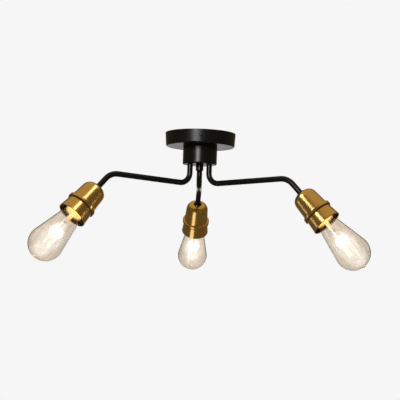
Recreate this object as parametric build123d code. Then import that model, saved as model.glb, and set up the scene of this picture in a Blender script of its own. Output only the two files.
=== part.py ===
from build123d import *
import os
from math import cos, radians, sin, tan

# Semi flush ceiling light with three arms, in millimetres and degrees.
# The ceiling plane is z = 0 and the lamp hangs below it. The origin is the centre of the canopy.

# Canopy: a round pan, open towards the ceiling
canopy_top_radius = 60.6
canopy_bottom_radius = 59.2
canopy_height = 23.0
canopy_wall = 1.0
canopy_edge_radius = 2.5

# Hub: a cup under the canopy that carries the arms
hub_radius = 29.4
hub_bottom = -54.0
hub_wall = 1.2
hub_edge_radius = 2.2

# Centre nipple and its nuts
nipple_radius = 4.75
nipple_bore = 3.2
nipple_top = -15.0
nipple_bottom = -61.0
nipple_nut_flats = 14.0
nut_height = 4.5
cap_nut_radius = 6.5
cap_nut_length = 10.5
cap_nut_edge = 1.2
cap_nut_bore_clearance = 0.5

# Ceiling bracket
strap_width = 24.0
strap_thickness = 2.0
strap_half_length = 58.0
strap_bend_radius = 3.0
ear_bottom = -16.0
ear_width = 14.0
slot_spacing = 92.0
slot_width = 5.0
slot_length = 12.0

# Canopy side screws, M3 pan heads
side_screw_height = -9.5
side_screw_radius = 1.5
side_screw_length = 9.0
side_screw_head_radius = 2.75
side_screw_head_height = 1.7
side_screw_hole = 1.7
side_screw_seat = 60.22
side_screw_recess = (0.7, 3.3, 0.9)

# Arms: bent tubes, drawn in the plane of azimuth 0 and turned about Z
arm_azimuths = {"left": 210.0, "right": 330.0, "back": 90.0}
tube_radius = 4.75
tube_bore = 3.0
tube_neck_radius = 4.0
tube_neck_top = -43.0
drop_reach = 18.9
inner_corner_height = -88.0
inner_bend_radius = 18.0
outer_corner_reach = 167.5
run_slope = 2.5
outer_bend_radius = 28.0
end_slope = 47.0
end_turn = 5.0
dome_distance = 35.0
tube_end_depth = 12.0
arm_nut_flats = 13.0

# Lampholder cup: depths are measured from the top of the dome towards the bulb
cup_wall = 0.8
dome_top_radius = 19.5
dome_shoulder_radius = 13.5
dome_bottom_radius = 22.2
dome_straight = 37.0
dome_end = 42.0
collar_radius = 7.5
collar_height = 1.8
cup_nut_flats = 13.0
bead_start = 37.4
bead_end = 45.2
bead_radius = 25.3
bead_rounding = 2.6
skirt_waist_radius = 22.8
rim_roll_radius = 0.95
rim_roll_centre = 24.2
rim_depth = 66.5

# Moulded lampholder inside the cup
holder_top = 4.6
holder_shoulder_depth = 13.5
holder_top_radius = 10.5
holder_radius = 17.8
holder_split = 22.0
holder_floor = 3.4
holder_mouth = 50.5
holder_bore = 14.2
holder_cavity_radius = 14.0
holder_cavity_top = 8.0
holder_cavity_slope = 6.0
flute_radius = 0.9
flute_offset = 0.35
flute_margin = 3.0
flute_angle = 15
terminal_size = (6.0, 5.0, 3.6)
terminal_y = 9.0
terminal_screw_radius = 2.0
terminal_screw_height = 1.4
terminal_screw_slot = (3.6, 0.6, 1.0)
wire_end_depth = 20.2
ring_radius = 20.9
ring_start = 45.5

# Sleeves of the Edison thread
thread_radius = 12.9
thread_clearance = 0.3
shell_wall = 0.4
shell_start = 30.0
shell_end = 50.0
contact_tongue = (14.0, 6.0)

# Bulb: depths are measured from the top of the dome
glass_wall = 0.8
bulb_centre_depth = 129.8
bulb_radius = 28.7
bulb_half_angle = 11.0
neck_radius = 12.2
neck_start = 51.4
neck_end = 55.2
neck_blend_end = 64.0
tip_base_radius = 4.0
tip_radius = 1.9
tip_end_depth = 160.2
tip_overlap = 0.6
cap_open_end = 54.5
cap_collar_radius = 13.2
cap_collar_start = 50.8
cap_thread_start = 33.6
cap_wall = 0.35
cap_cone_end = 31.2
cap_cone_radius = 9.0
insulator_end = 28.4
insulator_radius = 5.2
contact_end = 26.6
contact_radius = 4.6
contact_gap = 0.3
contact_shank_radius = 3.0
contact_play = 0.1

# Stem, supports and filament of the bulb
stem_flare_radius = 11.4
stem_flare_depth = 51.4
stem_flare_dome = 1.2
stem_flare_edge = 1.4
stem_waist_depth = 66.0
stem_radius = 3.4
stem_top_depth = 84.0
stem_top_taper = 2.0
rod_radius = 1.3
rod_end_depth = 146.0
rod_button_radius = 2.4
upper_button_depth = 92.5
lower_button_depth = 143.2
wire_embedding = 0.3
hook_reach = 1.2
lead_reach = 0.4
lead_rise = 3.0
support_wire_radius = 0.35
filament_radius = 0.4
filament_strands = 10
cage_top_depth = 94.0
cage_bottom_depth = 141.0
cage_top_radius = 9.0
cage_bottom_radius = 7.5

# Mains terminal block and wiring
block_size = (28.0, 17.0, 12.0)
block_centre_y = -28.5
pole_spacing = 8.0
poles = (-1, 0, 1)
port_width = 2.8
port_top = -2.3
port_bottom = -11.4
clamp_screw_radius = 1.9
clamp_screw_sink = 0.6
clamp_screw_slot = (3.4, 0.6, 1.2)
block_screw_head_radius = 2.5
block_screw_head_height = 1.6
block_screw_slot = (4.0, 0.8, 1.4)
port_lead = 7.0
port_insertion = 6.5
wire_radius = 0.95
wire_spacing = 1.1
wire_bend_radius = 3.0
bushing_hole = 4.4
bushing_bore = 3.3
bushing_flange = 6.2
bushing_flange_height = 1.2
live_heights = {"right": -3.5, "left": -7.9, "back": -10.2}
neutral_heights = {"left": -5.7, "right": -7.9, "back": -10.2}
earth_height = -8.0
earth_stud_y = -48.0
earth_stud_radius = 2.0
earth_tag_radius = 4.4
earth_tag_thickness = 1.2
earth_stud_length = 10.0
earth_nut_flats = 7.0
earth_nut_height = 3.2
earth_wire_lift = 0.1
earth_wire_bend_radius = 1.8

corner_rise = (outer_corner_reach - drop_reach) * tan(radians(run_slope))
corner_height = inner_corner_height + corner_rise
plate_top = canopy_wall - canopy_height
hub_plate_top = hub_bottom + hub_wall


def ring_of(radius, bore, top, bottom):
    """Straight round sleeve about Z between two heights."""
    height = top - bottom
    sleeve = Pos(0, 0, bottom) * extrude(Circle(radius), height)
    return sleeve - Pos(0, 0, bottom) * extrude(Circle(bore), height)


def rod(radius, top, bottom):
    """Plain round bar about Z between two heights."""
    return Pos(0, 0, bottom) * extrude(Circle(radius), top - bottom)


def hex_nut(flats, bore, top, bottom):
    """Hexagon nut about Z."""
    blank = Pos(0, 0, bottom) * extrude(RegularPolygon(flats / 2, 6, major_radius=False), top - bottom)
    return blank - rod(bore, top, bottom)


def turned(line):
    """Solid of revolution about Z of a closed outline in the XZ plane, as (radius, height)."""
    return revolve(Plane.XZ * make_face(line), Axis.Z)


def turned_corners(*corners):
    """Solid of revolution whose outline corners are (radius, height, rounding)."""
    points = [(radius, height) for radius, height, _ in corners]
    roundings = [rounding for _, _, rounding in corners]
    return turned(FilletPolyline(*points, radius=roundings, close=True))


def swept(path, radius):
    """Round bar or wire along a path."""
    start = Plane(origin=path @ 0, z_dir=path % 0)
    return sweep(start * Circle(radius), path=path)


def around(azimuths, shape):
    """Copies of a shape turned to each azimuth."""
    return [Rot(0, 0, azimuth) * shape for azimuth in azimuths]


def write(name, *shapes):
    """One file per node, a node of several like pieces being a group of solids."""
    solids = [solid for shape in shapes for solid in shape.solids()]
    part = solids[0] if len(solids) == 1 else Compound(children=solids)
    part.label = name
    export_step(part, f"parts/{name}.step")


# ---------------------------------------------------------------- ceiling end

def canopy_outline_radius(height):
    """Radius of the canopy's tapered wall at a height."""
    return canopy_top_radius + (canopy_top_radius - canopy_bottom_radius) * height / canopy_height


def canopy():
    """Pan with a tapered wall, a hole for the nipple, one hole per arm and two for side screws."""
    pan = turned_corners(
        (0, -canopy_height, 0),
        (canopy_bottom_radius, -canopy_height, canopy_edge_radius),
        (canopy_top_radius, 0, 0),
        (canopy_top_radius - canopy_wall, 0, 0),
        (canopy_bottom_radius - canopy_wall, plate_top, canopy_edge_radius - canopy_wall),
        (0, plate_top, 0),
    )
    pan -= rod(nipple_radius, plate_top, -canopy_height)
    hole = Pos(drop_reach, 0, 0) * rod(bushing_hole, plate_top, -canopy_height)
    for cut in around(arm_azimuths.values(), hole):
        pan -= cut
    pan -= Pos(0, 0, side_screw_height) * Rot(90, 0, 0) * Cylinder(side_screw_hole, 3 * canopy_top_radius)
    return pan


def ceiling_bracket():
    """Strap with two slots for ceiling screws and ends bent down beside the canopy's wall."""
    inside = strap_half_length - strap_thickness
    inner_bend = strap_bend_radius - strap_thickness
    strap_line = FilletPolyline(
        (-strap_half_length, ear_bottom),
        (-strap_half_length, 0),
        (strap_half_length, 0),
        (strap_half_length, ear_bottom),
        (inside, ear_bottom),
        (inside, -strap_thickness),
        (-inside, -strap_thickness),
        (-inside, ear_bottom),
        radius=[0, strap_bend_radius, strap_bend_radius, 0, 0, inner_bend, inner_bend, 0],
        close=True,
    )
    strap = extrude(Plane.YZ * make_face(strap_line), strap_width / 2, both=True)
    for side in (-1, 1):
        for end in (-1, 1):
            trim_width = (strap_width - ear_width) / 2
            trim = Box(trim_width, 2 * strap_bend_radius, 2 * abs(ear_bottom))
            strap -= Pos(side * (strap_width - trim_width) / 2, end * strap_half_length, 0) * trim
        slot = extrude(SlotOverall(slot_length, slot_width, rotation=90), strap_thickness, both=True)
        strap -= Pos(0, side * slot_spacing / 2, 0) * slot
        strap -= block_screw_place(side) * rod(side_screw_radius, 0, -strap_thickness)
    side_holes = Rot(90, 0, 0) * Cylinder(side_screw_radius, 3 * canopy_top_radius)
    return strap - Pos(0, 0, side_screw_height) * side_holes


def side_screw():
    """Pan-head screw along X, pointing at the canopy's centre."""
    shank = extrude(Circle(side_screw_radius), -side_screw_length)
    head = extrude(Circle(side_screw_head_radius), side_screw_head_height)
    head = fillet(head.edges().group_by(Axis.Z)[-1], side_screw_head_height * 0.6)
    recess = Box(*side_screw_recess) + Rot(0, 0, 90) * Box(*side_screw_recess)
    screw = shank + head - Pos(0, 0, side_screw_head_height) * recess
    return Pos(side_screw_seat, 0, side_screw_height) * Rot(0, 90, 0) * screw


def hub_cup():
    """Deep cup whose mouth meets the canopy's plate, with holes for the arms and the nipple."""
    cup = turned_corners(
        (0, hub_bottom, 0),
        (hub_radius, hub_bottom, hub_edge_radius),
        (hub_radius, -canopy_height, 0),
        (hub_radius - hub_wall, -canopy_height, 0),
        (hub_radius - hub_wall, hub_plate_top, hub_edge_radius - hub_wall),
        (0, hub_plate_top, 0),
    )
    cup -= rod(nipple_radius, hub_plate_top, hub_bottom)
    hole = Pos(drop_reach, 0, 0) * rod(tube_neck_radius, hub_plate_top, hub_bottom)
    for cut in around(arm_azimuths.values(), hole):
        cup -= cut
    return cup


def hub_nuts():
    """Nut on the canopy's plate and lock nut on the hub's plate."""
    upper = hex_nut(nipple_nut_flats, nipple_radius, plate_top + nut_height, plate_top)
    lower = hex_nut(nipple_nut_flats, nipple_radius, hub_plate_top + nut_height, hub_plate_top)
    return [upper, lower]


def centre_cap_nut():
    """Round cap nut that closes the nipple below the hub."""
    bottom = hub_bottom - cap_nut_length
    nut = turned_corners(
        (0, bottom, 0),
        (cap_nut_radius, bottom, cap_nut_edge),
        (cap_nut_radius, hub_bottom, 0.4),
        (0, hub_bottom, 0),
    )
    return nut - rod(nipple_radius, hub_bottom, nipple_bottom - cap_nut_bore_clearance)


def wire_bushing():
    """Flanged plastic bushing in the canopy's plate above an arm."""
    sleeve = ring_of(bushing_hole, bushing_bore, plate_top, -canopy_height)
    flange = ring_of(bushing_flange, bushing_bore, plate_top + bushing_flange_height, plate_top)
    return Pos(drop_reach, 0, 0) * (sleeve + flange)


def arm_nut():
    """Nut that holds an arm's neck on the hub's plate."""
    nut = hex_nut(arm_nut_flats, tube_neck_radius, hub_plate_top + nut_height, hub_plate_top)
    return Pos(drop_reach, 0, 0) * nut


def block_screw_place(side):
    """Position of one of the two screws between the block's poles."""
    return Pos(side * pole_spacing / 2, block_centre_y, 0)


def block_port(pole):
    """Space in the terminal block where one pole's wires enter."""
    height = port_top - port_bottom
    middle = (port_top + port_bottom) / 2
    return Pos(pole * pole_spacing, block_centre_y, middle) * Box(port_width, 2 * block_size[1], height)


def terminal_block():
    """Three-pole block under the strap, with ports through it and wells for its screws."""
    bottom = -strap_thickness - block_size[2]
    block = Pos(0, block_centre_y, -strap_thickness - block_size[2] / 2) * Box(*block_size)
    block = chamfer(block.edges().filter_by(Axis.Z), 1.0)
    for pole in poles:
        block -= block_port(pole)
    for side in (-1, 1):
        block -= block_screw_place(side) * rod(side_screw_radius, -strap_thickness, bottom)
    for place in terminal_places():
        block -= place * rod(clamp_screw_radius, port_bottom, bottom)
    return block


def terminal_places():
    """Positions of the six clamping screws, two for each pole."""
    rows = [block_centre_y + side * block_size[1] / 4 for side in (-1, 1)]
    return [Pos(pole * pole_spacing, row, 0) for pole in poles for row in rows]


def terminal_screws():
    """Slotted grub screws in the wells of the block."""
    bottom = -strap_thickness - block_size[2]
    face = bottom + clamp_screw_sink
    screw = rod(clamp_screw_radius, port_bottom, face) - Pos(0, 0, face) * Box(*clamp_screw_slot)
    return [place * screw for place in terminal_places()]


def block_screws():
    """Screws up through the block into the strap, between the poles."""
    bottom = -strap_thickness - block_size[2]
    face = bottom - block_screw_head_height
    head = rod(block_screw_head_radius, bottom, face) - Pos(0, 0, face) * Box(*block_screw_slot)
    screw = rod(side_screw_radius, 0, bottom) + head
    return [block_screw_place(side) * screw for side in (-1, 1)]


def earth_stud():
    """Stud on the canopy's plate with a nut over the wire's tag."""
    stud = rod(earth_stud_radius, plate_top + earth_stud_length, plate_top)
    tag_top = plate_top + earth_tag_thickness
    nut = hex_nut(earth_nut_flats, earth_stud_radius, tag_top + earth_nut_height, tag_top)
    return [Pos(0, earth_stud_y, 0) * piece for piece in (stud, nut)]


# ---------------------------------------------------------------- arms

def end_direction():
    """Direction of an arm's last straight piece, in the frame of azimuth 0."""
    level = cos(radians(end_slope))
    turn = radians(end_turn)
    return Vector(level * cos(turn), level * sin(turn), -sin(radians(end_slope)))


def arm_path(side_offset=0.0):
    """Corners of an arm's centreline in the frame of azimuth 0, moved sideways for a wire."""
    outer_corner = Vector(outer_corner_reach, side_offset, corner_height)
    return [
        Vector(drop_reach, side_offset, tube_neck_top),
        Vector(drop_reach, side_offset, inner_corner_height),
        outer_corner,
        outer_corner + end_direction() * (dome_distance + tube_end_depth),
    ]


def arm():
    """Bent tube with a thinner threaded neck that passes the hub's plate."""
    path = FilletPolyline(*arm_path(), radius=[inner_bend_radius, outer_bend_radius])
    tube = swept(path, tube_radius) - swept(path, tube_bore)
    neck_cut = ring_of(2 * tube_radius, tube_neck_radius, tube_neck_top, hub_bottom)
    return tube - Pos(drop_reach, 0, 0) * neck_cut


def arm_wire(azimuth, side, top_height, pole):
    """Insulated wire from a holder's terminal, through an arm, to its slot in the terminal block."""
    turn = Rot(0, 0, azimuth)
    terminal = socket_point(0.0, side * (terminal_y - terminal_size[1] / 2), wire_end_depth)
    tube_mouth = socket_point(0.0, side * wire_spacing, wire_end_depth)
    corners = arm_path(side * wire_spacing)
    rise = Vector(drop_reach, side * wire_spacing, top_height)
    inside_arm = [terminal, tube_mouth, corners[2], corners[1], rise]
    placed = [(turn * Pos(point)).position for point in inside_arm]
    entry_y = block_centre_y + block_size[1] / 2
    slot = Vector(pole * pole_spacing, entry_y + port_lead, top_height)
    inner_end = Vector(pole * pole_spacing, entry_y - port_insertion, top_height)
    bends = [wire_bend_radius, outer_bend_radius, inner_bend_radius, wire_bend_radius, wire_bend_radius]
    path = FilletPolyline(*placed, slot, inner_end, radius=bends)
    return swept(path, wire_radius)


def pole_wires(heights, pole):
    """The three arms' wires of one pole, on one side of each tube."""
    return [arm_wire(arm_azimuths[name], -pole, height, pole) for name, height in heights.items()]


def earth_wire():
    """Short wire from the block's middle pole to a tag on the canopy's stud."""
    tag_height = plate_top + wire_radius + earth_wire_lift
    drop_y = earth_stud_y + earth_tag_radius + 2.0
    path = FilletPolyline(
        (0, block_centre_y - 4.0, earth_height),
        (0, drop_y, earth_height),
        (0, drop_y, tag_height),
        (0, earth_stud_y + earth_tag_radius - 0.6, tag_height),
        radius=[wire_bend_radius, earth_wire_bend_radius],
    )
    tag = ring_of(earth_tag_radius, earth_stud_radius, plate_top + earth_tag_thickness, plate_top)
    return swept(path, wire_radius) + Pos(0, earth_stud_y, 0) * tag


# ---------------------------------------------------------------- lampholders

def socket_frame(azimuth=0.0):
    """Place of a lampholder: local origin at the dome's top, local -Z towards the bulb."""
    outer_corner = Rot(0, 0, azimuth) * Pos(outer_corner_reach, 0, corner_height)
    return outer_corner * Rot(0, 0, end_turn) * Rot(0, end_slope - 90, 0) * Pos(0, 0, -dome_distance)


def socket_point(local_x, local_y, depth):
    """Point of the azimuth 0 lampholder, in the lamp's frame."""
    return (socket_frame() * Pos(local_x, local_y, -depth)).position


def cup_dome():
    """Spun dome with a round shoulder, slightly flared, and a straight end inside the skirt."""
    def shell(inset):
        radius = dome_top_radius - inset
        return turned_corners(
            (0, -inset, 0),
            (radius, -inset, dome_shoulder_radius - inset),
            (dome_bottom_radius - inset, -dome_straight, 0),
            (dome_bottom_radius - inset, -dome_end, 0),
            (0, -dome_end, 0),
        )

    return shell(0) - shell(cup_wall) - rod(tube_radius, 0, -2 * cup_wall)


def cup_skirt():
    """Skirt with a raised bead over the dome's end, a flare and a rolled rim."""
    roll_depth = rim_depth - rim_roll_radius
    waist = bead_end + 0.6
    outer_rim = rim_roll_centre + rim_roll_radius
    inner_bead = bead_radius - cup_wall
    wall = turned_corners(
        (dome_bottom_radius, -bead_start, 0),
        (dome_bottom_radius + cup_wall, -bead_start, 0.3),
        (bead_radius, -bead_start - 0.9, bead_rounding),
        (bead_radius, -bead_end + 0.7, bead_rounding),
        (skirt_waist_radius, -waist, 0.8),
        (outer_rim, -roll_depth, 0),
        (outer_rim - cup_wall, -roll_depth, 0),
        (skirt_waist_radius - cup_wall, -waist, 0.4),
        (inner_bead, -bead_end + 1.2, bead_rounding - cup_wall),
        (inner_bead, -bead_start - 1.8, bead_rounding - cup_wall),
        (dome_bottom_radius, -bead_start - 1.2, 0),
    )
    roll = revolve(Plane.XZ * Pos(rim_roll_centre, -roll_depth) * Circle(rim_roll_radius), Axis.Z)
    return wall + roll


def cup_collar():
    """Black collar around the tube on top of the dome."""
    collar = ring_of(collar_radius, tube_radius, collar_height, 0)
    return chamfer(collar.edges().group_by(Axis.Z)[-1].sort_by(SortBy.LENGTH)[-1], 0.8)


def cup_nut():
    """Nut under the dome's top."""
    nut = hex_nut(cup_nut_flats, tube_radius, -cup_wall, -holder_top)
    return nut & rod(cup_nut_flats / 2 + 0.2, -cup_wall, -holder_top)


def holder_cap():
    """Upper half of the moulded holder, hollow for the terminals."""
    return turned_corners(
        (tube_radius, -holder_top, 0),
        (holder_top_radius, -holder_top, 2.0),
        (holder_radius - 0.6, -holder_shoulder_depth, 3.0),
        (holder_radius, -holder_split, 0),
        (holder_cavity_radius, -holder_split, 0),
        (holder_cavity_radius, -holder_cavity_top - holder_cavity_slope, 2.0),
        (holder_top_radius - 3.0, -holder_cavity_top, 0.8),
        (tube_radius, -holder_cavity_top, 0),
    )


def holder_body():
    """Lower half of the holder: floor with terminal holes, and a bore for the screw shell."""
    body = turned_corners(
        (0, -holder_split, 0),
        (holder_radius, -holder_split, 0),
        (holder_radius, -ring_start, 0),
        (holder_radius, -holder_mouth, 0.8),
        (holder_bore, -holder_mouth, 0.6),
        (holder_bore, -holder_split - holder_floor, 0.5),
        (0, -holder_split - holder_floor, 0),
    )
    groove = rod(flute_radius, -holder_split - flute_margin, -ring_start + flute_margin)
    for flute in around(range(0, 360, flute_angle), Pos(holder_radius + flute_offset, 0, 0) * groove):
        body -= flute
    return body


def holder_ring():
    """Retaining ring on the mouth of the holder, chamfered inside the cup."""
    return turned_corners(
        (holder_radius, -ring_start, 0),
        (ring_radius, -ring_start, 0.5),
        (ring_radius, -holder_mouth + 1.2, 1.0),
        (holder_radius + 1.2, -holder_mouth, 0.3),
        (holder_radius, -holder_mouth, 0),
    )


def screw_shell():
    """Sheet shell of the holder around the bulb's cap."""
    bore = thread_radius + thread_clearance
    return ring_of(bore + shell_wall, bore, -shell_start, -shell_end)


def centre_contact():
    """Contact tongue on the holder's floor, under the bulb's contact."""
    floor_depth = holder_split + holder_floor
    face_depth = contact_end - contact_gap
    return Pos(0, 0, -(floor_depth + face_depth) / 2) * Box(*contact_tongue, face_depth - floor_depth)


def holder_terminal(side):
    """Brass terminal with its screw, on the floor of the holder's cavity."""
    height = terminal_size[2]
    block = Pos(0, 0, height / 2) * Box(*terminal_size)
    face = height + terminal_screw_height
    screw = rod(terminal_screw_radius, face, height) - Pos(0, 0, face) * Box(*terminal_screw_slot)
    return Pos(0, side * terminal_y, -holder_split) * (block + screw)


# ---------------------------------------------------------------- bulbs

def glass_outline(inset):
    """Closed outline of the bulb, shrunk by inset: neck, blend, cone and round end."""
    slope = tan(radians(bulb_half_angle))
    radius = bulb_radius - inset
    touch_radius = radius * cos(radians(bulb_half_angle))
    touch_depth = bulb_centre_depth - radius * sin(radians(bulb_half_angle))
    blend_radius = touch_radius - slope * (touch_depth - neck_blend_end)
    neck = neck_radius - inset
    middle = radians(45)
    lines = [
        Line((0, -neck_start), (neck, -neck_start)),
        Line((neck, -neck_start), (neck, -neck_end)),
        Spline(
            (neck, -neck_end),
            (blend_radius, -neck_blend_end),
            tangents=[(0, -1), (slope, -1)],
        ),
        Line((blend_radius, -neck_blend_end), (touch_radius, -touch_depth)),
        ThreePointArc(
            (touch_radius, -touch_depth),
            (radius * cos(middle), -bulb_centre_depth - radius * sin(middle)),
            (0, -bulb_centre_depth - radius),
        ),
        Line((0, -bulb_centre_depth - radius), (0, -neck_start)),
    ]
    return lines


def bulb_glass():
    """Blown envelope, open at the neck's end inside the cap, with a sealed tip."""
    tip_start = bulb_centre_depth + bulb_radius - tip_overlap
    tip = turned_corners(
        (0, -tip_start, 0),
        (tip_base_radius, -tip_start, 0),
        (tip_radius, -tip_end_depth, 0.9),
        (0, -tip_end_depth, 0),
    )
    return turned(glass_outline(0)) - turned(glass_outline(glass_wall)) + tip


def bulb_cap():
    """Sheet cap: closing cone, threaded sleeve and a collar around the neck."""
    collar_depth = cap_collar_start + cap_wall
    cone_inside = cap_cone_radius - cap_wall
    return turned_corners(
        (cap_cone_radius, -cap_cone_end, 0),
        (thread_radius, -cap_thread_start, 0.6),
        (thread_radius, -cap_collar_start, 0),
        (cap_collar_radius, -collar_depth, 0),
        (cap_collar_radius, -cap_open_end, 0),
        (cap_collar_radius - cap_wall, -cap_open_end, 0),
        (cap_collar_radius - cap_wall, -collar_depth - cap_wall, 0),
        (thread_radius - cap_wall, -cap_collar_start - cap_wall, 0),
        (thread_radius - cap_wall, -cap_thread_start - cap_wall, 0.3),
        (cone_inside, -cap_cone_end - cap_wall, 0),
        (cone_inside, -cap_cone_end, 0),
    )


def bulb_insulator():
    """Black glass ring between the cap's cone and the contact."""
    return turned_corners(
        (contact_shank_radius, -insulator_end, 0),
        (insulator_radius, -insulator_end, 0.6),
        (cap_cone_radius - cap_wall, -cap_cone_end, 0),
        (cap_cone_radius - cap_wall, -cap_cone_end - cap_wall, 0),
        (contact_shank_radius, -cap_cone_end - cap_wall, 0),
    )


def bulb_contact():
    """Round contact plate with a short shank that has a little play in the insulator."""
    plate_back = -insulator_end + contact_play
    plate = turned_corners(
        (0, -contact_end, 0),
        (contact_radius, -contact_end, 1.0),
        (contact_radius, plate_back, 0),
        (0, plate_back, 0),
    )
    return plate + rod(contact_shank_radius - contact_play, plate_back, -cap_cone_end - cap_wall)


def bulb_stem():
    """Glass flare sealed in the neck, drawn to a tube and a thin rod with buttons."""
    flare_edge = -stem_flare_depth - stem_flare_edge
    taper_start = -stem_top_depth + stem_top_taper
    lines = [
        Line((0, -stem_flare_depth - stem_flare_dome), (stem_flare_radius, -stem_flare_depth)),
        Line((stem_flare_radius, -stem_flare_depth), (stem_flare_radius, flare_edge)),
        Spline(
            (stem_flare_radius, flare_edge),
            (stem_radius, -stem_waist_depth),
            tangents=[(-0.6, -1), (0, -1)],
        ),
        Line((stem_radius, -stem_waist_depth), (stem_radius, taper_start)),
        Line((stem_radius, taper_start), (rod_radius, -stem_top_depth)),
        Line((rod_radius, -stem_top_depth), (rod_radius, -rod_end_depth)),
        Line((rod_radius, -rod_end_depth), (0, -rod_end_depth)),
        Line((0, -rod_end_depth), (0, -stem_flare_depth - stem_flare_dome)),
    ]
    stem = turned(lines)
    for depth in (upper_button_depth, lower_button_depth):
        stem += Pos(0, 0, -depth) * Sphere(rod_button_radius)
    return stem


def cage_point(index):
    """Corner of the zigzag filament: even corners near the neck, odd ones near the tip."""
    angle = radians(360.0 * index / filament_strands)
    near_tip = index % 2
    radius = cage_bottom_radius if near_tip else cage_top_radius
    depth = cage_bottom_depth if near_tip else cage_top_depth
    return Vector(radius * cos(angle), radius * sin(angle), -depth)


def bulb_filament():
    """One wire that zigzags round the cage, from the first lead to the last."""
    corners = [cage_point(index) for index in range(filament_strands)]
    path = FilletPolyline(*corners, radius=1.0)
    return swept(path, filament_radius)


def outward_of(corner):
    """Level unit direction of a cage corner from the bulb's axis."""
    return Vector(corner.X, corner.Y, 0).normalized()


def hook(index):
    """Ends of a support wire, from a button to just past a corner of the filament."""
    corner = cage_point(index)
    gap = filament_radius + support_wire_radius
    near_tip = index % 2
    button_depth = lower_button_depth if near_tip else upper_button_depth
    outward = outward_of(corner)
    start = Vector(0, 0, -button_depth) + outward * (rod_button_radius - wire_embedding)
    beyond = Vector(0, 0, -gap if near_tip else gap)
    return start, corner + beyond + outward * hook_reach


def lead(index):
    """Ends of a lead, from the stem's tube to an end of the filament."""
    corner = cage_point(index)
    gap = filament_radius + support_wire_radius
    outward = outward_of(corner)
    start = Vector(0, 0, lead_rise - stem_top_depth) + outward * (stem_radius - wire_embedding)
    return start, corner + Vector(0, 0, gap) + outward * lead_reach


def bulb_wires(stem, filament):
    """Support stars at both ends of the cage and two leads from the stem."""
    hooks = [hook(index) for index in range(1, filament_strands - 1)]
    leads = [lead(0), lead(filament_strands - 1)]
    return [swept(Line(*ends), support_wire_radius) - stem - filament for ends in hooks + leads]


# ---------------------------------------------------------------- files

os.makedirs("parts", exist_ok=True)

side_screws = around((90.0, 270.0), side_screw())
write("canopy", canopy())
write("ceiling_bracket", ceiling_bracket())
write("canopy_side_screws", *side_screws)
write("hub_cup", hub_cup())
write("hub_nipple", ring_of(nipple_radius, nipple_bore, nipple_top, nipple_bottom))
write("hub_nuts", *hub_nuts())
write("centre_cap_nut", centre_cap_nut())
write("wire_bushings", *around(arm_azimuths.values(), wire_bushing()))
write("arm_nuts", *around(arm_azimuths.values(), arm_nut()))
write("terminal_block", terminal_block())
write("terminal_screws", *terminal_screws())
write("block_screws", *block_screws())
write("earth_stud", *earth_stud())
write("earth_wire", earth_wire())
write("live_wires", *pole_wires(live_heights, -1))
write("neutral_wires", *pole_wires(neutral_heights, 1))

frames = {name: socket_frame(azimuth) for name, azimuth in arm_azimuths.items()}
write("cup_collars", *[frame * cup_collar() for frame in frames.values()])
write("cup_nuts", *[frame * cup_nut() for frame in frames.values()])
write("holder_rings", *[frame * holder_ring() for frame in frames.values()])
write("centre_contacts", *[frame * centre_contact() for frame in frames.values()])
terminals = holder_terminal(-1), holder_terminal(1)
write("holder_terminals", *[frame * piece for frame in frames.values() for piece in terminals])

one_arm = arm()
one_stem = bulb_stem()
one_filament = bulb_filament()
socket_pieces = {
    "cup_dome": [cup_dome()],
    "cup_skirt": [cup_skirt()],
    "holder_cap": [holder_cap()],
    "holder_body": [holder_body()],
    "screw_shell": [screw_shell()],
    "bulb_glass": [bulb_glass()],
    "bulb_cap": [bulb_cap()],
    "bulb_insulator": [bulb_insulator()],
    "bulb_contact": [bulb_contact()],
    "bulb_stem": [one_stem],
    "bulb_filament": [one_filament],
    "bulb_wires": bulb_wires(one_stem, one_filament),
}
for side, frame in frames.items():
    write(f"arm_{side}", Rot(0, 0, arm_azimuths[side]) * one_arm)
    for name, pieces in socket_pieces.items():
        write(f"{name}_{side}", *[frame * piece for piece in pieces])
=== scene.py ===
import math

import bmesh
import bpy
import numpy as np
from mathutils import Matrix, Vector

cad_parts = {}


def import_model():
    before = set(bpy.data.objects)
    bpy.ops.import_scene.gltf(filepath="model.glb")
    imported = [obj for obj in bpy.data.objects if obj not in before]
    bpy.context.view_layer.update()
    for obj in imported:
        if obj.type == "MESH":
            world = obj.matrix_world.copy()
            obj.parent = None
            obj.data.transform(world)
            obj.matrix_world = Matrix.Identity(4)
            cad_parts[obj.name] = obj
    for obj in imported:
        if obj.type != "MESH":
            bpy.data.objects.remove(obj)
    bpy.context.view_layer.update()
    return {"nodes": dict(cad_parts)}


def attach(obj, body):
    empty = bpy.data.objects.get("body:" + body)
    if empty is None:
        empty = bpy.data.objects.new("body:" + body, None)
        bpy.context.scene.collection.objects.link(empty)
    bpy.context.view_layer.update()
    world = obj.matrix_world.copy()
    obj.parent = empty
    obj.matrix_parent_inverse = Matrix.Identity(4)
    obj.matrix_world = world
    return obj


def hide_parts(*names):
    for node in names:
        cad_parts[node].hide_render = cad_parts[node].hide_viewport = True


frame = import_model()

MM = 0.001
AZIMUTHS = {"left": 210.0, "right": 330.0, "back": 90.0}

# ------------------------------------------------------------------ sizes, in millimetres
DROP_REACH = 18.9
INNER_CORNER_HEIGHT = -88.0
OUTER_CORNER_REACH = 167.5
RUN_SLOPE = math.radians(2.5)
END_SLOPE = math.radians(47.0)
END_TURN = math.radians(5.0)
DOME_DISTANCE = 35.0
CORNER_HEIGHT = INNER_CORNER_HEIGHT + (OUTER_CORNER_REACH - DROP_REACH) * math.tan(RUN_SLOPE)
BULB_CENTRE = 129.8
BULB_RADIUS = 28.7
BULB_HALF_ANGLE = math.radians(11.0)

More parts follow.
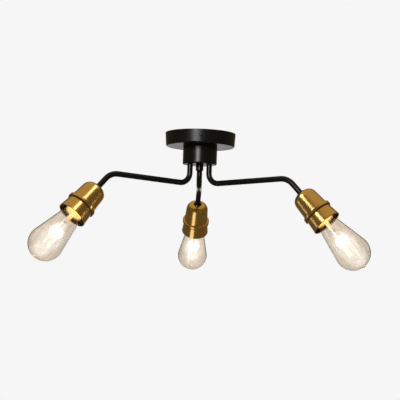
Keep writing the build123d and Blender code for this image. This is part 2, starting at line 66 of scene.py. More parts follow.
# ------------------------------------------------------------------ light and glow
CORE_DENSITY, CORE_LEVEL, WIDE_GLOW = 190.0, 1.10, 4.6
CORE_ENDS = {"left": (0.143, 0.157), "right": (0.143, 0.157), "back": (0.128, 0.144)}
FLOOR_GLOW = 0.70
DAYLIGHT, NEUTRAL, BULB_LIGHT = (0.95, 1.05, 1.35), (1.0, 1.01, 1.04), (1.0, 0.66, 0.34)
BULB_POWER = 0.14
TARGET = Vector((0, 0, -0.12))


# ------------------------------------------------------------------ mesh tools

def rounded(points, radii, closed=False, steps=7):
    """Polyline in two or three dimensions with its corners turned to arcs."""
    pts = [np.array(p, float) for p in points]
    count = len(pts)
    out = []
    for i, corner in enumerate(pts):
        radius = radii[i]
        if radius <= 0 or (not closed and i in (0, count - 1)):
            out.append(corner)
            continue
        back = pts[i - 1] - corner
        ahead = pts[(i + 1) % count] - corner
        back /= np.linalg.norm(back)
        ahead /= np.linalg.norm(ahead)
        half = math.acos(float(np.clip(back @ ahead, -1, 1))) / 2
        middle = (back + ahead) / np.linalg.norm(back + ahead)
        centre = corner + middle * radius / math.sin(half)
        start = corner + back * radius / math.tan(half) - centre
        end = corner + ahead * radius / math.tan(half) - centre
        side = end - start * (start @ end) / radius**2
        side *= radius / np.linalg.norm(side)
        sweep = math.pi - 2 * half
        for k in range(steps + 1):
            angle = sweep * k / steps
            out.append(centre + start * math.cos(angle) + side * math.sin(angle))
    return out


def finish_mesh(name, verts, faces, matrix, sharp=35.0):
    """Object from vertices in millimetres, smooth but for edges sharper than the angle given.

    The mesh holds its place in the lamp, and keeps its own coordinates in the attribute "place".
    """
    mesh = bpy.data.meshes.new(name)
    mesh.from_pydata([tuple(float(c) * MM for c in v) for v in verts], [], faces)
    mesh.validate()
    work = bmesh.new()
    work.from_mesh(mesh)
    bmesh.ops.remove_doubles(work, verts=work.verts, dist=1e-7)
    bmesh.ops.recalc_face_normals(work, faces=work.faces)
    work.to_mesh(mesh)
    work.free()
    mesh.shade_smooth()
    mesh.set_sharp_from_angle(angle=math.radians(sharp))
    obj = bpy.data.objects.new(name, mesh)
    bpy.context.scene.collection.objects.link(obj)
    own_coordinates = np.zeros(len(mesh.vertices) * 3, np.float32)
    mesh.vertices.foreach_get("co", own_coordinates)
    mesh.attributes.new("place", "FLOAT_VECTOR", "POINT").data.foreach_set("vector", own_coordinates)
    mesh.transform(matrix)
    return obj


def braced(outline, longest=2.0, inset=0.12):
    """Closed outline with extra points near the ends of long straight runs, so that these shade straight."""
    out = []
    for a, b in zip(outline, outline[1:] + outline[:1]):
        out.append(a)
        length = math.dist(a, b)
        if length > longest:
            for t in (inset / length, 1 - inset / length):
                out.append(tuple(p + (q - p) * t for p, q in zip(a, b)))
    return out


def lathe_data(outline, segments=144):
    """Vertices and faces of a closed outline of (radius, height) turned about Z."""
    verts, rows = [], []
    for radius, height in braced([tuple(p) for p in outline]):
        if radius < 1e-6:
            rows.append([len(verts)] * segments)
            verts.append((0.0, 0.0, height))
            continue
        rows.append(list(range(len(verts), len(verts) + segments)))
        for k in range(segments):
            angle = 2 * math.pi * k / segments
            verts.append((radius * math.cos(angle), radius * math.sin(angle), height))
    faces = []
    for a, b in zip(rows, rows[1:] + rows[:1]):
        for k in range(segments):
            n = (k + 1) % segments
            loop = []
            for v in (a[k], a[n], b[n], b[k]):
                if v not in loop:
                    loop.append(v)
            if len(loop) > 2:
                faces.append(loop)
    return verts, faces


def sweep_data(path, radius, segments=16, closed=False):
    """Vertices and faces of a round bar along a path."""
    pts = [np.array(p, float) for p in path]
    count = len(pts)
    tangents = []
    for i in range(count):
        a = pts[i - 1] if i or closed else pts[i]
        b = pts[(i + 1) % count] if i < count - 1 or closed else pts[i]
        t = b - a
        tangents.append(t / np.linalg.norm(t))
    seed = np.array([0.0, 0.0, 1.0]) if abs(tangents[0][2]) < 0.9 else np.array([1.0, 0.0, 0.0])
    side = np.cross(tangents[0], seed)
    side /= np.linalg.norm(side)
    verts = []
    for p, t in zip(pts, tangents):
        side = side - t * (side @ t)
        side /= np.linalg.norm(side)
        up = np.cross(t, side)
        for k in range(segments):
            angle = 2 * math.pi * k / segments
            verts.append(p + radius * (math.cos(angle) * side + math.sin(angle) * up))
    faces = []
    spans = count if closed else count - 1
    for i in range(spans):
        j = (i + 1) % count
        for k in range(segments):
            n = (k + 1) % segments
            faces.append([i * segments + k, i * segments + n, j * segments + n, j * segments + k])
    if not closed:
        faces.append(list(range(segments)))
        faces.append(list(range((count - 1) * segments, count * segments)))
    return verts, faces


def joined(*parts):
    """Several vertex and face lists as one."""
    verts, faces = [], []
    for part_verts, part_faces in parts:
        start = len(verts)
        verts += [tuple(v) for v in part_verts]
        faces += [[start + i for i in face] for face in part_faces]
    return verts, faces


def socket_matrix(azimuth):
    """Place of a lampholder: origin on the dome's top, local -Z towards the bulb's tip."""
    outwards = Matrix.Rotation(math.radians(azimuth), 4, "Z")
    corner = Matrix.Translation((OUTER_CORNER_REACH * MM, 0, CORNER_HEIGHT * MM))
    lean = Matrix.Rotation(END_TURN, 4, "Z") @ Matrix.Rotation(END_SLOPE - math.pi / 2, 4, "Y")
    return outwards @ corner @ lean @ Matrix.Translation((0, 0, -DOME_DISTANCE * MM))


# ------------------------------------------------------------------ node tools

class Nodes:
    """Short calls for building one material's nodes."""

    def __init__(self, name, own_coordinates=False, place=None):
        self.mat = bpy.data.materials.new(name)
        self.mat.use_nodes = True
        self.tree = self.mat.node_tree
        self.tree.nodes.clear()
        self.out = self.new("ShaderNodeOutputMaterial")
        if own_coordinates:
            self.place = self.new("ShaderNodeAttribute", attribute_name="place").outputs["Vector"]
            return
        self.place = self.new("ShaderNodeTexCoord").outputs["Object"]
        if place:
            back = place.inverted()
            mapping = self.new("ShaderNodeMapping")
            mapping.inputs["Location"].default_value = back.to_translation()
            mapping.inputs["Rotation"].default_value = back.to_euler()
            self.put(mapping.inputs["Vector"], self.place)
            self.place = mapping.outputs[0]

    def new(self, kind, **settings):
        node = self.tree.nodes.new(kind)
        for key, value in settings.items():
            setattr(node, key, value)
        return node

    def put(self, socket, value):
        if isinstance(value, bpy.types.NodeSocket):
            self.tree.links.new(value, socket)
        elif value is not None:
            socket.default_value = value

    def math(self, kind, a, b=None, c=None, clamp=False):
        node = self.new("ShaderNodeMath", operation=kind, use_clamp=clamp)
        for socket, value in zip(node.inputs, (a, b, c)):
            self.put(socket, value)
        return node.outputs[0]

    def noise(self, scale, detail=3.0, rough=0.5, vector=None, stretch=None):
        node = self.new("ShaderNodeTexNoise")
        source = vector or self.place
        if stretch:
            source = self.scaled(source, stretch)
        self.put(node.inputs["Vector"], source)
        node.inputs["Scale"].default_value = scale
        node.inputs["Detail"].default_value = detail
        node.inputs["Roughness"].default_value = rough
        return node.outputs[0]

    def scaled(self, vector, factors):
        node = self.new("ShaderNodeVectorMath", operation="MULTIPLY")
        self.put(node.inputs[0], vector)
        node.inputs[1].default_value = factors
        return node.outputs[0]

    def axes(self):
        node = self.new("ShaderNodeSeparateXYZ")
        self.put(node.inputs[0], self.place)
        return node.outputs

    def radius(self):
        x, y, _ = self.axes()
        return self.math("SQRT", self.math("ADD", self.math("MULTIPLY", x, x), self.math("MULTIPLY", y, y)))

    def remap(self, value, low, high, to_low, to_high, smooth=False):
        node = self.new("ShaderNodeMapRange", interpolation_type="SMOOTHSTEP" if smooth else "LINEAR")
        names = ("Value", "From Min", "From Max", "To Min", "To Max")
        for name, v in zip(names, (value, low, high, to_low, to_high)):
            self.put(node.inputs[name], v)
        return node.outputs[0]

    def blend(self, factor, a, b, kind="MIX"):
        node = self.new("ShaderNodeMix", data_type="RGBA", blend_type=kind)
        self.put(node.inputs["Factor"], factor)
        self.put(node.inputs[6], (*a, 1.0) if isinstance(a, tuple) else a)
        self.put(node.inputs[7], (*b, 1.0) if isinstance(b, tuple) else b)
        return node.outputs[2]

    def bump(self, height, strength, distance):
        node = self.new("ShaderNodeBump")
        self.put(node.inputs["Height"], height)
        node.inputs["Strength"].default_value = strength
        node.inputs["Distance"].default_value = distance
        return node.outputs[0]

    def principled(self, **sockets):
        node = self.new("ShaderNodeBsdfPrincipled")
        for key, value in sockets.items():
            name = key.replace("_", " ")
            colour = isinstance(value, tuple) and len(value) == 3
            self.put(node.inputs[name], (*value, 1.0) if colour else value)
        return node.outputs[0]

    def done(self, surface, volume=None):
        self.put(self.out.inputs["Surface"], surface)
        self.put(self.out.inputs["Volume"], volume)
        return self.mat


# ------------------------------------------------------------------ materials

def satin_black():
    n = Nodes("satin_black")
    cloud = n.noise(14.0, 4.0)
    colour = n.blend(cloud, (0.0030, 0.0030, 0.0033), (0.0052, 0.0052, 0.0056))
    grain = n.noise(1500.0, 2.0)
    rough = n.remap(n.noise(60.0, 3.0), 0.3, 0.7, 0.25, 0.31)
    return n.done(n.principled(
        Base_Color=colour, Roughness=rough, Specular_IOR_Level=0.36,
        Normal=n.bump(grain, 0.08, 0.00005),
    ))


def spun_brass():
    """Lacquered brass with faint rings from the spinning lathe, and a dark band of painted shade in the
    crease under the bead.
    """
    n = Nodes("spun_brass", own_coordinates=True)
    _, _, height = n.axes()
    rings = n.noise(1.0, 3.0, 0.6, stretch=(20.0, 20.0, 1100.0))
    patina = n.noise(38.0, 5.0, 0.62)
    colour = n.blend(n.remap(patina, 0.35, 0.75, 0.0, 1.0), (0.78, 0.475, 0.115), (0.72, 0.415, 0.092))
    colour = n.blend(n.remap(rings, 0.42, 0.62, 0.0, 0.18), colour, (0.64, 0.35, 0.072))
    # Painted shade: a dark band in the crease under the bead, where shade falls.
    painted_bead_shade = n.remap(n.math("ABSOLUTE", n.math("ADD", height, 0.0450)), 0.0002, 0.0017, 0.8, 0.0, True)
    colour = n.blend(painted_bead_shade, colour, (0.09, 0.047, 0.012))
    rough = n.math("ADD", n.remap(rings, 0.3, 0.7, 0.205, 0.225), n.remap(patina, 0.4, 0.8, 0.0, 0.03))
    return n.done(n.principled(
        Base_Color=colour, Metallic=1.0, Roughness=rough, Coat_Weight=0.8, Coat_Roughness=0.18,
        Normal=n.bump(patina, 0.02, 0.00003),
    ))


def brass_inside_painted_shade():
    # Painted shade: brass on the inside of the cups, darkened almost to black as a shaded copy of the outside
    # brass.
    n = Nodes("brass_inside_painted_shade", own_coordinates=True)
    patina = n.noise(60.0, 5.0, 0.65)
    colour = n.blend(patina, (0.036, 0.020, 0.006), (0.018, 0.010, 0.003))
    return n.done(n.principled(
        Base_Color=colour, Metallic=0.7, Roughness=n.remap(patina, 0.3, 0.7, 0.38, 0.55),
        Normal=n.bump(n.noise(900.0), 0.15, 0.00008),
    ))


def plated_steel():
    n = Nodes("plated_steel")
    grain = n.noise(120.0, 5.0, 0.6)
    colour = n.blend(grain, (0.62, 0.61, 0.58), (0.44, 0.44, 0.43))
    return n.done(n.principled(
        Base_Color=colour, Metallic=1.0, Roughness=n.remap(grain, 0.3, 0.7, 0.28, 0.46),
        Normal=n.bump(n.noise(1400.0), 0.2, 0.00006),
    ))


def sheet_brass(name, light, deep, low_rough):
    n = Nodes(name)
    grain = n.noise(150.0, 5.0, 0.6)
    return n.done(n.principled(
        Base_Color=n.blend(n.remap(grain, 0.3, 0.7, 0.0, 1.0), light, deep), Metallic=1.0,
        Roughness=n.remap(grain, 0.3, 0.7, low_rough, low_rough + 0.15),
        Normal=n.bump(n.noise(1200.0), 0.15, 0.00005),
    ))


def moulded(name, light, deep, rough, grain_depth=0.00008):
    n = Nodes(name)
    cloud = n.noise(90.0, 4.0, 0.6)
    return n.done(n.principled(
        Base_Color=n.blend(cloud, light, deep),
        Roughness=n.remap(cloud, 0.3, 0.7, rough - 0.06, rough + 0.08),
        Specular_IOR_Level=0.4, Normal=n.bump(n.noise(1800.0, 2.0), 0.2, grain_depth),
    ))


def striped_sleeve():
    n = Nodes("earth_sleeve")
    x, _, z = n.axes()
    across = n.math("ADD", x, n.math("MULTIPLY", z, 0.15))
    band = n.math("GREATER_THAN", n.math("SINE", n.math("MULTIPLY", across, 2600.0)), 0.2)
    colour = n.blend(band, (0.08, 0.32, 0.06), (0.75, 0.62, 0.05))
    return n.done(n.principled(
        Base_Color=colour, Roughness=0.42, Normal=n.bump(n.noise(1500.0), 0.1, 0.00005),
    ))


def clear_glass():
    """Faintly smoked glass, beige in the middle, with painted shade that turns it greyer towards its edges as
    seen, and a painted warm glow at the neck and the tip's nub.
    """
    n = Nodes("clear_glass", own_coordinates=True)
    swirl = n.noise(1.0, 2.0, 0.5, stretch=(26.0, 26.0, 9.0))
    streaks = n.noise(1.0, 4.0, 0.6, stretch=(150.0, 150.0, 14.0))
    _, _, height = n.axes()
    middle = n.blend(n.remap(streaks, 0.34, 0.66, 0.0, 1.0), (0.950, 0.870, 0.785), (0.77, 0.715, 0.645))
    # Painted shade: the glass turns grey towards its edges as seen.
    painted_edge_shade = n.new("ShaderNodeLayerWeight")
    painted_edge_shade.inputs["Blend"].default_value = 0.30
    smoke_and_edge_shade = n.blend(n.remap(painted_edge_shade.outputs["Facing"], 0.35, 0.95, 0.0, 0.85, True), middle, (0.60, 0.61, 0.615))
    # Painted light: the glass glows warm at the neck and faintly at the tip's nub, though it is no lamp.
    neck = n.remap(height, -0.0640, -0.0585, 0.0, 0.75, True)
    nub = n.remap(height, -0.1580, -0.1592, 0.0, 0.22, True)
    glass = n.principled(
        Base_Color=smoke_and_edge_shade, Roughness=0.0, IOR=1.46, Transmission_Weight=1.0,
        Emission_Color=(1.0, 0.74, 0.26), Emission_Strength=n.math("ADD", neck, nub),
        Normal=n.bump(swirl, 0.12, 0.0004),
    )
    through = n.new("ShaderNodeBsdfTransparent")
    through.inputs[0].default_value = (0.97, 0.95, 0.91, 1.0)
    path = n.new("ShaderNodeLightPath")
    mix = n.new("ShaderNodeMixShader")
    n.put(mix.inputs[0], path.outputs["Is Shadow Ray"])
    n.put(mix.inputs[1], glass)
    n.put(mix.inputs[2], through.outputs[0])
    return n.done(mix.outputs[0])


def stem_glass():
    """Glass of the stem, with a painted warm glow near the neck that stands in for the filament's light
    scattered there.
    """
    n = Nodes("stem_glass", own_coordinates=True)
    _, _, height = n.axes()
    near_neck = n.remap(height, -0.082, -0.066, 0.0, 1.0, True)
    streaks = n.noise(1.0, 3.0, 0.6, stretch=(320.0, 320.0, 60.0))
    # Painted light: the stem's glass glows near the neck, though it is no lamp.
    lit = n.math("MULTIPLY", near_neck, n.remap(streaks, 0.3, 0.7, 0.75, 1.15))
    return n.done(n.principled(
        Base_Color=(0.95, 0.90, 0.80), Roughness=0.06, IOR=1.47,
        Transmission_Weight=n.remap(near_neck, 0.0, 1.0, 0.96, 0.45),
        Emission_Color=(1.0, 0.72, 0.25), Emission_Strength=n.math("MULTIPLY", lit, 0.65),
        Normal=n.bump(streaks, 0.2, 0.0003),
    ))


def glowing_wire():
    n = Nodes("glowing_wire", own_coordinates=True)
    coils = n.noise(1.0, 2.0, 0.5, stretch=(900.0, 900.0, 2600.0))
    return n.done(n.principled(
        Base_Color=(0.5, 0.32, 0.15), Metallic=0.6, Roughness=0.5,
        Emission_Color=(1.0, 0.86, 0.60), Emission_Strength=n.remap(coils, 0.3, 0.7, 2.4, 3.4),
    ))


def support_wire():
    """Nickel wire with a painted glow, brightest at the two stars near the neck and the tip where the
    filament lights it.
    """
    n = Nodes("support_wire", own_coordinates=True)
    _, _, height = n.axes()
    grain = n.noise(500.0, 3.0)
    # Painted light: the support wires glow near the tip and the neck, though they are no lamp.
    tip = n.remap(height, -0.134, -0.140, 0.0, 1.0, True)
    neck = n.remap(height, -0.100, -0.094, 0.0, 0.6, True)
    return n.done(n.principled(
        Base_Color=n.blend(grain, (0.50, 0.40, 0.26), (0.32, 0.26, 0.18)), Metallic=0.8, Roughness=0.4,
        Emission_Color=(1.0, 0.84, 0.30),
        Emission_Strength=n.remap(n.math("ADD", tip, neck), 0.0, 1.0, 0.10, 0.50),
    ))


def halo(side):
    """Warm glow around one filament: a dense bright core with a ragged outline, and a faint wide part."""
    n = Nodes(f"halo_{side}", place=socket_matrix(AZIMUTHS[side]))
    _, _, height = n.axes()
    depth = n.math("MULTIPLY", height, -1.0)
    rise = n.remap(depth, 0.076, 0.096, 0.0, 1.0, True)
    fall = n.remap(depth, *CORE_ENDS[side], 1.0, 0.0, True)
    widen = n.remap(depth, 0.080, 0.108, 0.0050, 0.0132, True)
    narrow = n.remap(depth, 0.116, 0.152, 0.0, 0.0040, True)
    ragged = n.remap(n.noise(120.0, 3.0, 0.65), 0.3, 0.7, 0.70, 1.30)
    spread = n.math("MULTIPLY", n.math("SUBTRACT", widen, narrow), ragged)
    q = n.math("DIVIDE", n.radius(), spread)
    core = n.math("EXPONENT", n.math("MULTIPLY", n.math("POWER", q, 3.0), -1.0))
    core = n.math("MULTIPLY", n.math("MULTIPLY", rise, fall), core)
    far = n.math("DIVIDE", n.radius(), 0.0165)
    wide = n.math("EXPONENT", n.math("MULTIPLY", n.math("MULTIPLY", far, far), -1.0))
    past_neck = n.remap(depth, 0.066, 0.100, 0.0, 1.0, True)
    wide = n.math("MULTIPLY", n.math("MULTIPLY", wide, past_neck), WIDE_GLOW)
    bright, faint = n.new("ShaderNodeEmission"), n.new("ShaderNodeEmission")
    veil = n.new("ShaderNodeVolumeAbsorption")
    bright.inputs["Color"].default_value = (1.0, 1.0, 0.97, 1.0)
    faint.inputs["Color"].default_value = (1.0, 0.78, 0.50, 1.0)
    veil.inputs["Color"].default_value = (0.0, 0.0, 0.0, 1.0)
    n.put(bright.inputs["Strength"], n.math("MULTIPLY", core, CORE_DENSITY * CORE_LEVEL))
    n.put(veil.inputs["Density"], n.math("MULTIPLY", core, CORE_DENSITY))
    n.put(faint.inputs["Strength"], wide)
    both, total = n.new("ShaderNodeAddShader"), n.new("ShaderNodeAddShader")
    n.put(both.inputs[0], bright.outputs[0])
    n.put(both.inputs[1], faint.outputs[0])
    n.put(total.inputs[0], both.outputs[0])
    n.put(total.inputs[1], veil.outputs[0])
    return n.done(None, total.outputs[0])


MATERIALS = {
    "satin_black": satin_black(),
    "spun_brass": spun_brass(),
    "brass_inside_painted_shade": brass_inside_painted_shade(),
    "plated_steel": plated_steel(),
    "contact_brass": sheet_brass("contact_brass", (0.80, 0.58, 0.24), (0.62, 0.42, 0.15), 0.25),
    "cap_brass": sheet_brass("cap_brass", (0.83, 0.63, 0.28), (0.66, 0.47, 0.18), 0.18),
    "tin": sheet_brass("tin", (0.62, 0.62, 0.60), (0.48, 0.48, 0.47), 0.3),
    "black_moulding": moulded("black_moulding", (0.018, 0.016, 0.015), (0.010, 0.0095, 0.009), 0.36),
    "nylon": moulded("nylon", (0.80, 0.79, 0.75), (0.72, 0.71, 0.67), 0.45),
    "vitrite": moulded("vitrite", (0.014, 0.012, 0.013), (0.007, 0.006, 0.007), 0.14),
    "brown_sleeve": moulded("brown_sleeve", (0.11, 0.05, 0.022), (0.085, 0.037, 0.016), 0.42),
    "blue_sleeve": moulded("blue_sleeve", (0.03, 0.11, 0.42), (0.024, 0.085, 0.34), 0.42),
    "earth_sleeve": striped_sleeve(),
    "clear_glass": clear_glass(),
    "stem_glass": stem_glass(),
    "glowing_wire": glowing_wire(),
    "support_wire": support_wire(),
    **{f"halo_{side}": halo(side) for side in AZIMUTHS},
}
NODE_MATERIALS = {
    "canopy": "satin_black", "ceiling_bracket": "plated_steel", "canopy_side_screws": "satin_black",
    "hub_cup": "satin_black", "hub_nipple": "plated_steel", "hub_nuts": "plated_steel",
    "centre_cap_nut": "satin_black", "wire_bushings": "nylon", "arm_nuts": "plated_steel",
    "terminal_block": "nylon", "terminal_screws": "plated_steel", "block_screws": "plated_steel",
    "earth_stud": "plated_steel", "earth_wire": "earth_sleeve", "live_wires": "brown_sleeve",
    "neutral_wires": "blue_sleeve", "cup_collars": "satin_black", "cup_nuts": "plated_steel",
    "holder_rings": "black_moulding", "centre_contacts": "contact_brass", "holder_terminals": "contact_brass",
}
SIDE_MATERIALS = {
    "arm": "satin_black", "cup_dome": "spun_brass", "cup_skirt": "spun_brass", "holder_cap": "black_moulding",
    "holder_body": "black_moulding", "screw_shell": "contact_brass", "bulb_glass": "clear_glass",
    "bulb_cap": "cap_brass", "bulb_insulator": "vitrite", "bulb_contact": "tin", "bulb_stem": "stem_glass",
    "bulb_filament": "glowing_wire", "bulb_wires": "support_wire",
}
for side in AZIMUTHS:
    for node, material in SIDE_MATERIALS.items():
        NODE_MATERIALS[f"{node}_{side}"] = material


def paint(obj, *names):
    """Give an object its materials in order."""
    obj.data.materials.clear()
    for name in names:
        obj.data.materials.append(MATERIALS[name])


for node, obj in frame["nodes"].items():
    paint(obj, NODE_MATERIALS[node])


def own(obj, body, node, slot, *materials):
    """Finish a piece that stands for one CAD node."""
    paint(obj, *materials)
    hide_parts(node)
    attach(obj, body)
    return obj


# ------------------------------------------------------------------ cups

def dome_outline():
    """Closed outline of the spun dome, outside and then inside."""
    outer = rounded([(4.75, 0), (19.5, 0), (22.2, -37), (22.2, -42)], [0, 13.5, 30, 0], steps=16)
    inner = rounded([(21.4, -42), (21.4, -37), (18.7, -0.8), (4.75, -0.8)], [0, 30, 12.7, 0], steps=16)
    return outer + inner


def skirt_outline():
    """Closed outline of the skirt: lip, bead, waist, flare and rolled rim."""
    roll = [(24.2 + 0.95 * math.cos(a), -65.55 + 0.95 * math.sin(a))
            for a in np.linspace(math.radians(35), math.radians(-250), 22)]
    outer = rounded(
        [(22.2, -37.4), (23.1, -37.4), (25.3, -38.3), (25.3, -44.5), (22.8, -45.8), (25.02, -64.9)],
        [0, 0.35, 2.6, 2.6, 1.1, 0], steps=10,
    )
    inner = rounded(
        [(23.7, -64.4), (22.0, -45.8), (24.5, -43.9), (24.5, -39.1), (22.2, -38.6)],
        [0, 0.5, 1.8, 1.8, 0], steps=8,
    )
    return outer + roll + inner


def in_or_out(obj, place, radius_at):
    """Material index 1 for faces that look towards the socket's axis."""
    back = place.inverted()
    for face in obj.data.polygons:
        c = back @ face.center
        out = Vector((c.x, c.y, 0)).normalized()
        if (back.to_3x3() @ face.normal).dot(out) < -0.25 and math.hypot(c.x, c.y) < radius_at(c.z):
            face.material_index = 1


for side, azimuth in AZIMUTHS.items():
    place = socket_matrix(azimuth)
    dome = finish_mesh(f"dome_{side}", *lathe_data(dome_outline(), 160), place)
    own(dome, "fixture", f"cup_dome_{side}", "aged_brass", "spun_brass", "brass_inside_painted_shade")
    in_or_out(dome, place, lambda z: 0.0218)
    skirt = finish_mesh(f"skirt_{side}", *lathe_data(skirt_outline(), 160), place)
    own(skirt, "fixture", f"cup_skirt_{side}", "aged_brass", "spun_brass", "brass_inside_painted_shade")
    in_or_out(skirt, place, lambda z: 0.0242 if z > -0.0646 else 0.0)


# ------------------------------------------------------------------ bulbs

def glass_outline(inset):
    """Open outline of the bulb from the neck's end to the tip, shrunk by inset."""
    slope = math.tan(BULB_HALF_ANGLE)
    radius = BULB_RADIUS - inset
    touch = (radius * math.cos(BULB_HALF_ANGLE), BULB_CENTRE - radius * math.sin(BULB_HALF_ANGLE))
    blend_depth, neck_depth = 64.0, 55.2
    blend = (touch[0] - slope * (touch[1] - blend_depth), blend_depth)
    neck = (12.2 - inset, neck_depth)
    points = [(12.2 - inset, 51.4), neck]
    length = blend_depth - neck_depth
    for k in range(1, 16):
        t = k / 15
        h00, h01 = 2 * t**3 - 3 * t**2 + 1, -2 * t**3 + 3 * t**2
        h11 = t**3 - t**2
        points.append((h00 * neck[0] + h01 * blend[0] + h11 * slope * length, neck_depth + length * t))
    for k in range(1, 10):
        t = k / 10
        points.append((blend[0] + (touch[0] - blend[0]) * t, blend_depth + (touch[1] - blend_depth) * t))
    arc = np.linspace(-BULB_HALF_ANGLE, math.pi / 2, 40)
    points += [(radius * math.cos(a), BULB_CENTRE + radius * math.sin(a)) for a in arc]
    return [(max(r, 0.0), -d) for r, d in points]


def bulb_outline():
    """Closed outline of the envelope: outside to the tip's nub, and back along the inside."""
    outer = [p for p in glass_outline(0.0) if p[0] > 4.6]
    nub = rounded([(4.6, -158.13), (3.0, -158.75), (1.9, -160.2), (0, -160.2)], [0, 1.2, 0.9, 0], steps=6)
    nub[-1] = (0.0, -160.2)
    inner = glass_outline(0.8)[::-1]
    inner[0] = (0.0, inner[0][1])
    return outer + [tuple(p) for p in nub] + inner


def stem_outline():
    """Outline of the stem: flare sealed in the neck, tube, and thin rod."""
    flare = []
    for k in range(13):
        t = k / 12
        flare.append((11.4 + (3.4 - 11.4) * (1 - (1 - t) ** 2.2), -(52.8 + (66.0 - 52.8) * t)))
    tube = rounded([(3.4, -66), (3.4, -82), (1.3, -84.6), (1.3, -91)], [0, 1.0, 1.0, 0])
    return [(0, -52.6), (11.4, -51.4)] + flare + [tuple(p) for p in tube[1:]]


def button(depth, radius=2.4):
    """Bead of glass on the rod, as outline points."""
    angles = np.linspace(math.radians(62), math.radians(-62), 9)
    return [(max(1.3, radius * math.cos(a)), -depth + radius * math.sin(a)) for a in angles]


def stem_points():
    points = stem_outline() + button(92.5) + [(1.3, -110.0), (1.3, -128.0)] + button(143.2)
    return points + [(1.1, -145.8), (0.0, -146.0)]


STRANDS = 10
CAGE = {0: (9.0, 94.0), 1: (7.5, 141.0)}


def cage_point(index):
    """Corner of the zigzag filament: even corners near the neck, odd ones near the tip."""
    radius, depth = CAGE[index % 2]
    angle = 2 * math.pi * index / STRANDS
    return np.array([radius * math.cos(angle), radius * math.sin(angle), -depth])


def filament_data():
    corners = [cage_point(i) for i in range(STRANDS)]
    path = rounded(corners, [0] + [1.0] * (STRANDS - 2) + [0], steps=5)
    return sweep_data(path, 0.42, 8)


def wires_data():
    """Support hooks at both ends of the cage and the two leads."""
    parts = []
    for i in range(STRANDS):
        corner = cage_point(i)
        inward = np.array([corner[0], corner[1], 0.0])
        inward /= np.linalg.norm(inward)
        lead = i in (0, STRANDS - 1)
        if lead:
            start = np.array([0, 0, -81.0]) + inward * 3.2
            middle = corner + np.array([0, 0, 4.0])
            hook = [start, middle, corner + np.array([0, 0, 0.3])]
            radii = [0, 1.5, 0]
        else:
            near_tip = i % 2
            hub = -143.2 if near_tip else -92.5
            beyond = -0.75 if near_tip else 0.75
            start = np.array([0, 0, hub]) + inward * 2.1
            end = corner + np.array([0, 0, beyond])
            hook = [start, end - inward * 0.2, end + inward * 0.5 - np.array([0, 0, beyond * 1.2])]
            radii = [0, 0.4, 0]
        parts.append(sweep_data(rounded(hook, radii, steps=4), 0.33, 8))
    return joined(*parts)


def halo_outline():
    """Space inside the envelope that holds the glow."""
    inner = [p for p in glass_outline(1.6) if p[1] < -68.0]
    return [(0.0, inner[0][1])] + inner[:-1] + [(0.0, inner[-1][1])]


for side, azimuth in AZIMUTHS.items():
    place = socket_matrix(azimuth)
    body = f"bulb_{side}"
    own(finish_mesh(f"glass_{side}", *lathe_data(bulb_outline(), 160), place), body,
        f"bulb_glass_{side}", "clear_glass", "clear_glass")
    stem = finish_mesh(f"stem_{side}", *lathe_data(stem_points(), 48), place)
    own(stem, body, f"bulb_stem_{side}", "clear_glass", "stem_glass")
    filament = finish_mesh(f"filament_{side}", *filament_data(), place)
    own(filament, body, f"bulb_filament_{side}", "glowing_filament", "glowing_wire")
    hooks = finish_mesh(f"support_wires_{side}", *wires_data(), place)
    own(hooks, body, f"bulb_wires_{side}", "support_wire", "support_wire")
    glow = finish_mesh(f"halo_{side}", *lathe_data(halo_outline(), 64), place)
    for lit in (stem, filament, hooks, glow):
        lit.visible_glossy = False
    paint(glow, f"halo_{side}")
    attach(glow, body)


# ------------------------------------------------------------------ stage

def stage():
    """Pale floor well below the lamp."""
    floor = bpy.data.meshes.new("floor")
    half, height = 30.0, -4.0
    corners = [(x * half, y * half, height) for x, y in ((-1, -1), (1, -1), (1, 1), (-1, 1))]
    floor.from_pydata(corners, [], [(0, 1, 2, 3)])
    obj = bpy.data.objects.new("floor", floor)
    bpy.context.scene.collection.objects.link(obj)
    n = Nodes("floor")
    path = n.new("ShaderNodeLightPath")
    seen = n.math("MAXIMUM", path.outputs["Is Camera Ray"],
                  n.math("MAXIMUM", path.outputs["Is Glossy Ray"], path.outputs["Is Transmission Ray"]))
    obj.data.materials.append(n.done(n.principled(
        Base_Color=n.blend(n.noise(3.0, 2.0), (0.86, 0.86, 0.86), (0.88, 0.88, 0.88)), Roughness=0.8,
        Emission_Color=(1.0, 1.0, 1.0), Emission_Strength=n.math("MULTIPLY", seen, FLOOR_GLOW))))
    obj.visible_glossy = False


